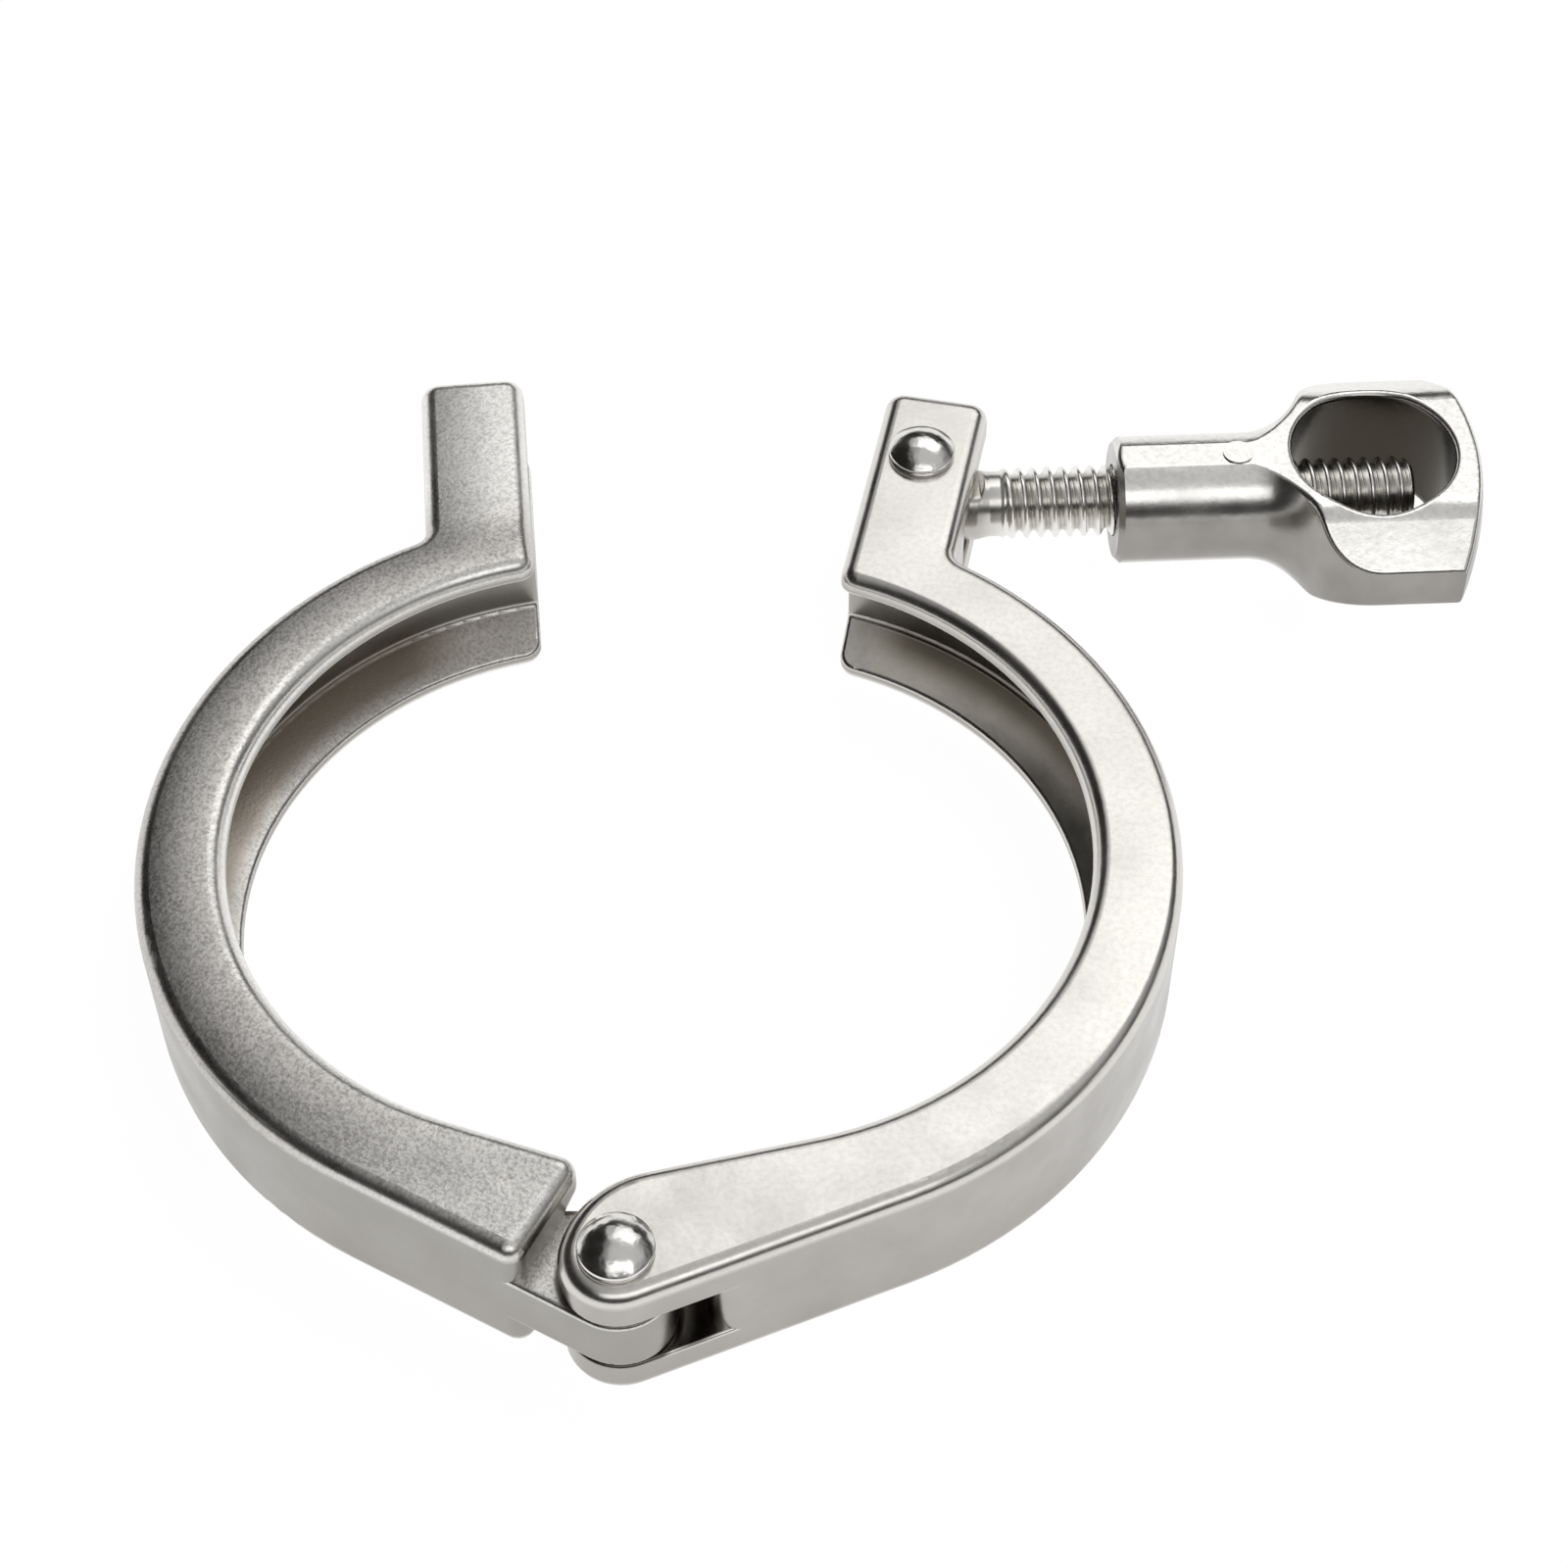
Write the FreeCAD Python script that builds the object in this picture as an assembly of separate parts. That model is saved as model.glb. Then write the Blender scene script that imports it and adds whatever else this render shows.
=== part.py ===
"""Single-pin sanitary clamp with a swing bolt and a windowed wing nut, lying flat and open.

Frame: origin on the ring axis of the clevis half at mid-thickness, +Z along the ring axis,
+Y from the hinge pin towards the lug, +X into the clevis half. Sizes are in millimetres.
"""
import FreeCAD, Part
import math
import os

# Ring section
R_LIP = 28.5
GROOVE_DEPTH = 4.4
BACK_WALL = 2.7
OUT_DROP = 0.7
THICK = 13.0
ROOT_PAST_TONGUE = 0.35
FLANK_DEG = 20.0
HALF_GAP = 3.0
EDGE_ROUND = 1.3
LIP_ROUND = 0.4
LIP_CORNER_ROUND = 1.6
ROOT_ROUND = 0.6

# Hinge
PIN_OUTSIDE_LIP = 10.1
EAR_R = 4.3
EAR_THICK = 3.6
EAR_INNER_DEG = 25.0
STEP_DIST = 6.0
STEP_DEG = 33.0
HINGE_GAP = 0.15
STEP_ROUND = 1.4
TONGUE_SEAT = 2.5
TONGUE_ROUND = 0.4
LEAD_IN_ROUND = 2.0
EAR_SLOT_ROUND = 0.3
OPEN_DEG = 17.0

# Lugs
LUG_WIDTH = 9.0
LUG_BEYOND_LIP = 23.0
LUG_CORNER = 1.6
LUG_ROOT_ROUND = 1.6
LUG_INSIDE = 2.4
SLOT_ROUND = 0.4

# Rivets
RIVET_R = 1.6
RIVET_FIT = 0.05
RIVET_TURN_FIT = 0.08
HEAD_R = 2.85
HEAD_RIM = 0.6
HEAD_DOME = 1.2
HEAD_ROUND = 0.25
TAIL_R = 2.3
TAIL_DEPTH = 0.9

# Swing bolt
BOLT_PIN_INSET = 4.25
BOLT_PIN_DEPTH = 7.6
BOLT_R = 3.1
NECK_R = 2.85
NECK_START = 5.2
NECK_END = 7.0
EYE_R = 4.1
EYE_THICK = 5.0
EYE_FLARE = 6.0
BOLT_PAST_WINDOW_CENTRE = 3.85
BOLT_CHAMFER = 0.7
BOLT_SIDE_GAP = 0.2
BOLT_FORK_GAP = 0.45
SLOT_FLOOR_GAP = 0.9
SWING_DEG = 14.0

# Wing nut
NUT_START = 17.0
NUT_LENGTH = 32.2
BARREL_R = 5.55
BARREL_LENGTH = 11.5
RIM_LENGTH = 7.2
HEAD_R_MAX = 11.9
END_BULGE = 3.0
FACE_HALF = 5.4
FACE_HALF_WIDTH = 7.0
FACE_ROUND = 4.0
EDGE_HALF = 1.9
TRIM_ROUND = 0.6
WINDOW_PAST_BARREL = 3.85
WINDOW_END_WALL = 2.6
WINDOW_ROUND = 0.5
NUT_BORE_FIT = 0.09
NOSE_CHAMFER = 0.5
PAD_AT = 10.6
PAD_R = 1.3
PAD_RAISE = 0.15

R_ROOT = R_LIP + GROOVE_DEPTH
R_OUT = R_ROOT + BACK_WALL
PIN_DROP = R_LIP + PIN_OUTSIDE_LIP
LUG_END_Y = R_LIP + LUG_BEYOND_LIP
BOLT_PIN_Y = LUG_END_Y - BOLT_PIN_DEPTH
WINDOW_R = (NUT_LENGTH - WINDOW_END_WALL - BARREL_LENGTH - WINDOW_PAST_BARREL) / 2
WINDOW_CENTRE = NUT_LENGTH - WINDOW_END_WALL - WINDOW_R
BOLT_LENGTH = NUT_START + WINDOW_CENTRE + BOLT_PAST_WINDOW_CENTRE
FLARE_END = NUT_LENGTH - END_BULGE - RIM_LENGTH

Z_AXIS = FreeCAD.Vector(0, 0, 1)
HALF = THICK / 2
REACH = 200.0
OVERRUN = 2.0
STEP_REACH = 4 * EAR_R
TOUCH = 1e-4
LUG_OUT_X = HALF_GAP + LUG_WIDTH
OUT_CENTRE = FreeCAD.Vector(0, -OUT_DROP, 0)
HINGE_PIN = FreeCAD.Vector(0, -PIN_DROP, 0)
BOLT_PIN = FreeCAD.Vector(HALF_GAP + BOLT_PIN_INSET, BOLT_PIN_Y, 0)
TONGUE_THICK = THICK - 2 * (EAR_THICK + HINGE_GAP)
ROOT_WIDTH = TONGUE_THICK + 2 * ROOT_PAST_TONGUE
KNUCKLE_SLOT = THICK - 2 * EAR_THICK
MOUTH_HALF = ROOT_WIDTH / 2 + (R_ROOT - R_LIP) * math.tan(math.radians(FLANK_DEG))
BOLT_SLOT = 2 * (BOLT_R + BOLT_SIDE_GAP)
FORK_SLOT = 2 * (BOLT_R + BOLT_FORK_GAP)


def vec(x, y, z=0.0):
    return FreeCAD.Vector(x, y, z)


def direction(degrees):
    """Unit vector in the plan view, measured from +X towards +Y."""
    angle = math.radians(degrees)
    return vec(math.cos(angle), math.sin(angle))


def line(a, b):
    return Part.LineSegment(a, b).toShape()


def arc(a, middle, b):
    return Part.Arc(a, middle, b).toShape()


def disc(centre, radius):
    return Part.Face(Part.Wire(Part.Circle(centre, Z_AXIS, radius).toShape()))


def polygon(points):
    return Part.Face(Part.makePolygon(points + points[:1]))


def prism(face, low, high):
    """A plan-view face at z = 0, made into a solid between two heights."""
    lifted = face.translated(vec(0, 0, low))
    return lifted.extrude(vec(0, 0, high - low))


def cylinder(radius, low, high, centre=vec(0, 0)):
    return Part.makeCylinder(radius, high - low, centre + vec(0, 0, low), Z_AXIS)


def only_solid(shape):
    return shape.removeSplitter().Solids[0]


def outer_y(x):
    """Height in plan of the outer face of the ring at one x, on the lug's side."""
    return math.sqrt(R_OUT ** 2 - x ** 2) - OUT_DROP


def round_corner(before, corner, after, radius):
    """The two tangent points and the arc middle that round one corner of an outline."""
    back = (before - corner).normalize()
    ahead = (after - corner).normalize()
    half_turn = back.getAngle(ahead) / 2
    reach = radius / math.tan(half_turn)
    bisector = (back + ahead).normalize()
    middle = corner + bisector * (radius / math.sin(half_turn) - radius)
    return corner + back * reach, middle, corner + ahead * reach


def rounded_outline(corners):
    """A face from (point, radius) pairs, each corner rounded by its radius where that is not 0."""
    edges = []
    joints = []
    count = len(corners)
    for i, (corner, radius) in enumerate(corners):
        if radius == 0:
            joints.append((corner, None, corner))
            continue
        joints.append(round_corner(corners[i - 1][0], corner, corners[(i + 1) % count][0], radius))
    for i, (start, middle, end) in enumerate(joints):
        if middle is not None:
            edges.append(arc(start, middle, end))
        edges.append(line(end, joints[(i + 1) % count][0]))
    return Part.Face(Part.Wire(edges))


def knuckle_face():
    """Plan of the hinge end: round the pin outside, and on a larger arc to the lip inside."""
    outward = vec(math.sin(math.radians(EAR_INNER_DEG)), -math.cos(math.radians(EAR_INNER_DEG)))
    inner_tangent = outward * R_LIP
    turn = math.radians(EAR_INNER_DEG)
    inner_r = (PIN_DROP * math.cos(turn) - EAR_R * math.sin(turn) - R_LIP) / (1 - math.sin(turn))
    inner_centre = HINGE_PIN + vec(inner_r - EAR_R, 0)
    inner_end = inner_centre - outward * inner_r
    inner_middle = inner_centre + direction((180 + 90 + EAR_INNER_DEG) / 2) * inner_r
    leftmost = HINGE_PIN + vec(-EAR_R, 0)
    flank_deg = math.degrees(math.asin((R_OUT - EAR_R) / (PIN_DROP - OUT_DROP)))
    flank_normal = direction(-flank_deg)
    ear_end = HINGE_PIN + flank_normal * EAR_R
    ear_middle = HINGE_PIN + direction(-(180 + flank_deg) / 2) * EAR_R
    ring_end = OUT_CENTRE + flank_normal * R_OUT
    return Part.Face(Part.Wire([
        line(inner_tangent, inner_end),
        arc(inner_end, inner_middle, leftmost),
        arc(leftmost, ear_middle, ear_end),
        line(ear_end, ring_end),
        line(ring_end, inner_tangent),
    ]))


def lip_relief_face():
    """Plan of what is taken off the lip near the hinge, where its edge runs straight."""
    turn = math.radians(EAR_INNER_DEG)
    along = vec(math.cos(turn), math.sin(turn))
    tangent = vec(math.sin(turn), -math.cos(turn)) * R_LIP
    far = tangent - along * R_LIP
    return polygon([tangent, far, vec(far.x, 0), vec(tangent.x, 0)])


def half_blank():
    """One clamp half before grooves and slots: ring arc, lug and hinge knuckle."""
    ring = disc(OUT_CENTRE, R_OUT).cut(disc(vec(0, 0), R_LIP))
    beside_gap = polygon([vec(HALF_GAP, -REACH), vec(REACH, -REACH), vec(REACH, REACH), vec(HALF_GAP, REACH)])
    arc_face = ring.common(beside_gap).cut(lip_relief_face())
    lug_low = R_OUT - OUT_DROP - LUG_INSIDE
    lug = rounded_outline([
        (vec(HALF_GAP, lug_low), 0),
        (vec(LUG_OUT_X, math.sqrt(lug_low ** 2 - LUG_OUT_X ** 2)), 0),
        (vec(LUG_OUT_X, LUG_END_Y), LUG_CORNER),
        (vec(HALF_GAP, LUG_END_Y), LUG_CORNER),
    ])
    blanks = [prism(face, -HALF, HALF) for face in (arc_face, lug, knuckle_face())]
    return only_solid(blanks[0].fuse(blanks[1:]))


def beyond_step_face(distance):
    """Plan of the space on the pin's side of a line parallel to the step, this far from the pin."""
    normal = direction(STEP_DEG)
    along = direction(STEP_DEG + 90)
    foot = HINGE_PIN + normal * distance
    far = foot - normal * 2 * STEP_REACH
    return polygon([foot + along * STEP_REACH, foot - along * STEP_REACH,
                    far - along * STEP_REACH, far + along * STEP_REACH])


def beyond_step(low, high):
    """The space on the pin's side of the step face, where the knuckle leaves turn."""
    return prism(beyond_step_face(STEP_DIST), low, high)


def groove_cutter():
    """The V-groove's space, turned about the ring axis, with a rounded root."""
    root_half = ROOT_WIDTH / 2
    inside = R_LIP - OVERRUN
    corners = [
        (vec(inside, 0, -MOUTH_HALF), 0),
        (vec(R_LIP, 0, -MOUTH_HALF), 0),
        (vec(R_ROOT, 0, -root_half), ROOT_ROUND),
        (vec(R_ROOT, 0, root_half), ROOT_ROUND),
        (vec(R_LIP, 0, MOUTH_HALF), 0),
        (vec(inside, 0, MOUTH_HALF), 0),
    ]
    return rounded_outline(corners).revolve(vec(0, 0), Z_AXIS, 360)


def upright_edges(solid, x, y):
    """Upright edges of a solid at one place in plan."""
    return [e for e in solid.Edges
            if all(abs(v.X - x) < TOUCH and abs(v.Y - y) < TOUCH for v in e.Vertexes)]


def rim_edges(solid):
    """Edges that lie in the top and bottom faces."""
    return [e for e in solid.Edges if all(abs(abs(v.Z) - HALF) < TOUCH for v in e.Vertexes)
            and abs(abs(e.CenterOfMass.z) - HALF) < TOUCH]


def edges_in_plane(solid, point, normal):
    """Edges of a solid whose ends and middle lie in one plane."""
    found = []
    for edge in solid.Edges:
        middle = edge.valueAt((edge.FirstParameter + edge.LastParameter) / 2)
        spots = [v.Point for v in edge.Vertexes] + [middle]
        if all(abs((spot - point).dot(normal)) < TOUCH for spot in spots):
            found.append(edge)
    return found


def groove_mouth_edges(solid):
    """The two long edges of the V-groove, along the lips."""
    return [e for e in solid.Edges if all(abs(abs(v.Z) - MOUTH_HALF) < TOUCH for v in e.Vertexes)
            and abs(abs(e.CenterOfMass.z) - MOUTH_HALF) < TOUCH]


def groove_end_edges(solid):
    """Edges of the V-groove and its lips where they run out through the mating face."""
    mating = edges_in_plane(solid, vec(HALF_GAP, 0), vec(1, 0))
    return [e for e in mating if 0 < e.CenterOfMass.y < R_ROOT
            and abs(e.CenterOfMass.z) < HALF - EDGE_ROUND - TOUCH]


def step_corner_edges(solid):
    """The two upright edges of the step face, outside and inside."""
    normal = direction(STEP_DEG)
    face_edges = edges_in_plane(solid, HINGE_PIN + normal * STEP_DIST, normal)
    return [e for e in face_edges if abs(e.tangentAt(e.FirstParameter).z) > 1 - TOUCH]


def rounded_half(blank):
    """A clamp half with its groove and rounded edges, before its slots are cut."""
    blank = blank.makeFillet(LUG_ROOT_ROUND, upright_edges(blank, LUG_OUT_X, outer_y(LUG_OUT_X)))
    lip_corner = upright_edges(blank, HALF_GAP, math.sqrt(R_LIP ** 2 - HALF_GAP ** 2))
    blank = blank.makeFillet(LIP_CORNER_ROUND, lip_corner)
    blank = blank.makeFillet(EDGE_ROUND, rim_edges(blank))
    body = only_solid(blank.cut(groove_cutter()))
    return only_solid(body.makeFillet(LIP_ROUND, groove_mouth_edges(body) + groove_end_edges(body)))


def rivet_hole(centre):
    """A riveted hole through the whole thickness, countersunk below for the rivet's tail."""
    radius = RIVET_R + RIVET_FIT
    tail = Part.makeCone(TAIL_R + RIVET_FIT, radius, TAIL_DEPTH, centre + vec(0, 0, -HALF), Z_AXIS)
    return cylinder(radius, -HALF, HALF, centre).fuse(tail)


def lug_slot(width, floor_y):
    """The slot that a lug has at mid-thickness, open at the lug's end and on both sides."""
    corner = vec(HALF_GAP - OVERRUN, floor_y, -width / 2)
    return Part.makeBox(LUG_WIDTH + 2 * OVERRUN, LUG_END_Y + OVERRUN - floor_y, width, corner)


def slot_edges(solid, floor_y):
    """Edges of the lug's slot in the mating face."""
    mating = edges_in_plane(solid, vec(HALF_GAP, 0), vec(1, 0))
    return [e for e in mating if e.CenterOfMass.y > floor_y - TOUCH
            and abs(e.CenterOfMass.z) < HALF - EDGE_ROUND - TOUCH]


def slot_wall_edges(solid):
    """The outer upright edge of the wall that ends the knuckle slot."""
    normal = direction(STEP_DEG)
    wall = edges_in_plane(solid, HINGE_PIN + normal * STEP_DIST, normal)
    upright = [e for e in wall if len(e.Vertexes) == 2 and abs(e.tangentAt(e.FirstParameter).z) > 1 - TOUCH]
    lowest = min(e.CenterOfMass.y for e in upright)
    return [e for e in upright if e.CenterOfMass.y < lowest + TOUCH]


def ear_slot_edges(solid):
    """Edges round the two ears, where the knuckle slot's flat walls end."""
    normal = direction(STEP_DEG)
    half_slot = KNUCKLE_SLOT / 2
    walls = edges_in_plane(solid, vec(0, 0, half_slot), Z_AXIS)
    walls += edges_in_plane(solid, vec(0, 0, -half_slot), Z_AXIS)
    return [e for e in walls if (e.CenterOfMass - HINGE_PIN).dot(normal) < STEP_DIST - TOUCH]


def clevis_half():
    """The half with two hinge ears and the lug that carries the swing bolt."""
    body = rounded_half(half_blank())
    slot_floor = BOLT_PIN_Y - EYE_R - SLOT_FLOOR_GAP
    body = body.cut(lug_slot(BOLT_SLOT, slot_floor))
    body = body.makeFillet(SLOT_ROUND, slot_edges(body, slot_floor))
    body = only_solid(body.cut(beyond_step(-KNUCKLE_SLOT / 2, KNUCKLE_SLOT / 2)))
    body = body.makeFillet(LEAD_IN_ROUND, slot_wall_edges(body))
    body = body.makeFillet(EAR_SLOT_ROUND, ear_slot_edges(body))
    return only_solid(body.cut([rivet_hole(HINGE_PIN), rivet_hole(BOLT_PIN)]))


def tongue():
    """The hinge tongue with its rounded rims, and what of it lies inside the ring."""
    high = TONGUE_THICK / 2
    plan = knuckle_face().common(beyond_step_face(STEP_DIST + TONGUE_SEAT))
    blank = prism(plan, -high, high)
    rims = edges_in_plane(blank, vec(0, 0, high), Z_AXIS) + edges_in_plane(blank, vec(0, 0, -high), Z_AXIS)
    blank = blank.makeFillet(TONGUE_ROUND, rims)
    pin_hole = cylinder(RIVET_R + RIVET_TURN_FIT, -high, high, HINGE_PIN)
    return only_solid(blank.cut([groove_cutter(), pin_hole]))


def tongue_half():
    """The half with the hinge tongue and the forked lug, opened about the hinge pin."""
    blank = only_solid(half_blank().cut(beyond_step(-HALF, HALF)))
    body = rounded_half(blank.makeFillet(STEP_ROUND, step_corner_edges(blank)))
    fork_floor = BOLT_PIN_Y - BOLT_R - SLOT_FLOOR_GAP
    body = body.cut(lug_slot(FORK_SLOT, fork_floor))
    body = body.makeFillet(SLOT_ROUND, slot_edges(body, fork_floor))
    body = only_solid(body.fuse(tongue())).mirror(vec(0, 0), vec(1, 0))
    return body.rotated(HINGE_PIN, Z_AXIS, OPEN_DEG)


def rivet(centre):
    """A domed rivet with a rounded rim, whose tail is peened flush into its countersink."""
    rim_top = HALF + HEAD_RIM
    dome_top = rim_top + HEAD_DOME
    dome_r = (HEAD_R ** 2 + HEAD_DOME ** 2) / (2 * HEAD_DOME)
    shoulder = math.asin(HEAD_R / dome_r) / 2
    dome_middle = vec(dome_r * math.sin(shoulder), 0, dome_top - dome_r * (1 - math.cos(shoulder)))
    profile = Part.Face(Part.Wire([
        line(vec(0, 0, -HALF), vec(TAIL_R, 0, -HALF)),
        line(vec(TAIL_R, 0, -HALF), vec(RIVET_R, 0, TAIL_DEPTH - HALF)),
        line(vec(RIVET_R, 0, TAIL_DEPTH - HALF), vec(RIVET_R, 0, HALF)),
        line(vec(RIVET_R, 0, HALF), vec(HEAD_R, 0, HALF)),
        line(vec(HEAD_R, 0, HALF), vec(HEAD_R, 0, rim_top)),
        arc(vec(HEAD_R, 0, rim_top), dome_middle, vec(0, 0, dome_top)),
        line(vec(0, 0, dome_top), vec(0, 0, -HALF)),
    ]))
    blank = profile.revolve(vec(0, 0), Z_AXIS, 360)
    rims = [e for e in blank.Edges if all(abs(v.X - HEAD_R) < TOUCH for v in e.Vertexes)
            and abs(e.CenterOfMass.x) < TOUCH]
    return only_solid(blank.makeFillet(HEAD_ROUND, rims)).translated(centre)


def on_bolt(shape):
    """A shape drawn along +X from the bolt pin, swung to the photographed angle."""
    return shape.rotated(vec(0, 0), Z_AXIS, SWING_DEG).translated(BOLT_PIN)


def swing_bolt():
    """An eye bolt: flat eye that flares from the neck, then the shank at its thread's crest size."""
    x_axis = vec(1, 0)
    eye = cylinder(EYE_R, -EYE_THICK / 2, EYE_THICK / 2)
    flat = Part.makeBox(EYE_FLARE, 2 * EYE_R, EYE_THICK, vec(0, -EYE_R, -EYE_THICK / 2))
    flare = Part.makeCone(EYE_R, NECK_R, EYE_FLARE, vec(0, 0), x_axis).common(flat)
    neck = Part.makeCylinder(NECK_R, NECK_END - NECK_START, vec(NECK_START, 0), x_axis)
    straight = BOLT_LENGTH - NECK_END - BOLT_CHAMFER
    shank = Part.makeCylinder(BOLT_R, straight, vec(NECK_END, 0), x_axis)
    tip = Part.makeCone(BOLT_R, BOLT_R - BOLT_CHAMFER, BOLT_CHAMFER, vec(NECK_END + straight, 0), x_axis)
    hole = cylinder(RIVET_R + RIVET_TURN_FIT, -EYE_THICK, EYE_THICK)
    return on_bolt(only_solid(eye.fuse([flare, neck, shank, tip]).cut(hole)))


def flare_arcs(start, end):
    """Two tangent arcs that carry an outline from one height to another, level at both ends."""
    rise = end.y - start.y
    run = end.x - start.x
    turn = 2 * math.atan(rise / run)
    radius = run / (2 * math.sin(turn))
    step = vec(radius * math.sin(turn / 2), radius * (1 - math.cos(turn / 2)))
    middle = (start + end) * 0.5
    return [arc(start, start + step, middle), arc(middle, end - step, end)]


def nut_blank():
    """The nut's turned form: barrel, trumpet flare, wide rim and bulged end."""
    flare_start = vec(BARREL_LENGTH, BARREL_R)
    flare_end = vec(FLARE_END, HEAD_R_MAX)
    bulge_r = (HEAD_R_MAX ** 2 + END_BULGE ** 2) / (2 * END_BULGE)
    rim = vec(NUT_LENGTH - END_BULGE, HEAD_R_MAX)
    half_angle = math.asin(HEAD_R_MAX / bulge_r) / 2
    bulge_middle = vec(NUT_LENGTH - bulge_r * (1 - math.cos(half_angle)), bulge_r * math.sin(half_angle))
    tip = vec(NUT_LENGTH, 0)
    edges = [
        line(vec(0, 0), vec(0, BARREL_R - NOSE_CHAMFER)),
        line(vec(0, BARREL_R - NOSE_CHAMFER), vec(NOSE_CHAMFER, BARREL_R)),
        line(vec(NOSE_CHAMFER, BARREL_R), flare_start),
        *flare_arcs(flare_start, flare_end),
        line(flare_end, rim),
        arc(rim, bulge_middle, tip),
        line(tip, vec(0, 0)),
    ]
    return Part.Face(Part.Wire(edges)).revolve(vec(0, 0), vec(1, 0), 360)


def nut_section():
    """Section that flattens the nut: level faces over the window, thinning to both wings."""
    slope = (FACE_HALF - EDGE_HALF) / (HEAD_R_MAX - FACE_HALF_WIDTH)
    out = HEAD_R_MAX + OVERRUN
    corners = []
    for side, face in ((1, 1), (1, -1), (-1, -1), (-1, 1)):
        near = (vec(0, side * FACE_HALF_WIDTH, face * FACE_HALF), FACE_ROUND)
        far = (vec(0, side * out, face * (EDGE_HALF - slope * OVERRUN)), 0)
        corners += [near, far] if side == face else [far, near]
    return rounded_outline(corners)


def is_flattened(face):
    """True for the faces that nut_section leaves on the nut."""
    surface = face.Surface
    if surface.TypeId == "Part::GeomCylinder":
        return abs(surface.Radius - FACE_ROUND) < TOUCH
    return surface.TypeId == "Part::GeomPlane" and abs(surface.Axis.x) < TOUCH


def trimmed_edges(body):
    """Edges where the nut's turned form meets its flattened faces."""
    flat_edges = [e.hashCode() for f in body.Faces if is_flattened(f) for e in f.Edges]
    turned_edges = [e.hashCode() for f in body.Faces if not is_flattened(f) for e in f.Edges]
    shared = set(flat_edges) & set(turned_edges)
    return [e for e in body.Edges if e.hashCode() in shared]


def window_edges(body):
    """The two rims of the nut's window, on its faces."""
    rims = []
    for edge in body.Edges:
        mid = edge.valueAt((edge.FirstParameter + edge.LastParameter) / 2)
        if abs(math.hypot(mid.x - WINDOW_CENTRE, mid.y) - WINDOW_R) < TOUCH and abs(mid.z) > BOLT_R:
            rims.append(edge)
    return rims


def wing_nut():
    """A cast nut: threaded barrel flaring to a wide head with a window for the fingers."""
    body = only_solid(nut_blank().common(nut_section().extrude(vec(NUT_LENGTH, 0))))
    body = body.makeFillet(TRIM_ROUND, trimmed_edges(body))
    window = cylinder(WINDOW_R, -HALF, HALF, vec(WINDOW_CENTRE, 0))
    bore = Part.makeCylinder(BOLT_R + NUT_BORE_FIT, WINDOW_CENTRE, vec(0, 0), vec(1, 0))
    body = only_solid(body.cut(window))
    body = body.makeFillet(WINDOW_ROUND, window_edges(body))
    pad = cylinder(PAD_R, 0, FACE_HALF + PAD_RAISE, vec(PAD_AT, 0))
    return on_bolt(only_solid(body.fuse(pad).cut(bore)).translated(vec(NUT_START, 0)))


def main():
    os.makedirs("parts", exist_ok=True)
    pieces = {
        "clevis_half": clevis_half(),
        "tongue_half": tongue_half(),
        "hinge_rivet": rivet(HINGE_PIN),
        "bolt_rivet": rivet(BOLT_PIN),
        "swing_bolt": swing_bolt(),
        "wing_nut": wing_nut(),
    }
    for name, shape in pieces.items():
        shape.exportStep(f"parts/{name}.step")


if __name__ == "__main__":
    main()
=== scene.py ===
"""Looks of a cast stainless tube clamp, lying open on a white table.

The clamp's halves, rivets and wing nut keep their CAD shapes and get their finishes here. The
swing bolt is drawn again with its rolled thread.
"""
import math
from functools import partial
from typing import NamedTuple

import bpy
import numpy as np
from mathutils import Matrix, Vector


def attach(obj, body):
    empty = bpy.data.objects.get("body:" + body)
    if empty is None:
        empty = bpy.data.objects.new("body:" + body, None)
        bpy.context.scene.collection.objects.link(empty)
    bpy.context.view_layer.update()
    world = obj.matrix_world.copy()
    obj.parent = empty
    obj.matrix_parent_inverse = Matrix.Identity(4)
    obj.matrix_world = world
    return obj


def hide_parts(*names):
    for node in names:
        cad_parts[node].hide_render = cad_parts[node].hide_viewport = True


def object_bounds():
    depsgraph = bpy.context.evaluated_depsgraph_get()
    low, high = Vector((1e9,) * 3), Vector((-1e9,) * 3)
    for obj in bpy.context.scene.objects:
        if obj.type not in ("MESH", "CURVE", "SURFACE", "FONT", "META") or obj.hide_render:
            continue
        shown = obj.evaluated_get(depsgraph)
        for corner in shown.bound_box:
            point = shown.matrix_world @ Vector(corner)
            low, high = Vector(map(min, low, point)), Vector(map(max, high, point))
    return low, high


bl_info = {
    "name": "Tube clamp looks",
    "version": (1, 0, 0),
    "blender": (4, 5, 0),
    "location": "View3D > Sidebar > Clamp",
    "description": "Finishes, bolt thread, table and studio light for an open tube clamp",
    "category": "Object",
}

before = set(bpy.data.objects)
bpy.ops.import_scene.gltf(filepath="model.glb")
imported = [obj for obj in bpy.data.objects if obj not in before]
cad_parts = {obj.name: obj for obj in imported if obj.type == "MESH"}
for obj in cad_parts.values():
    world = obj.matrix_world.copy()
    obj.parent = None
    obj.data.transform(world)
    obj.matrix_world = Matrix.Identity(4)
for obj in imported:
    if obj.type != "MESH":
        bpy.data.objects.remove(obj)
CAD_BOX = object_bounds()
MM = 0.001


def at_mm(x, y, z):
    """A place in the CAD's frame, written in millimetres."""
    return np.array((x, y, z)) * MM


def from_mm(start, end):
    """Two ends of a stretch, written in millimetres."""
    return start * MM, end * MM


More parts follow.
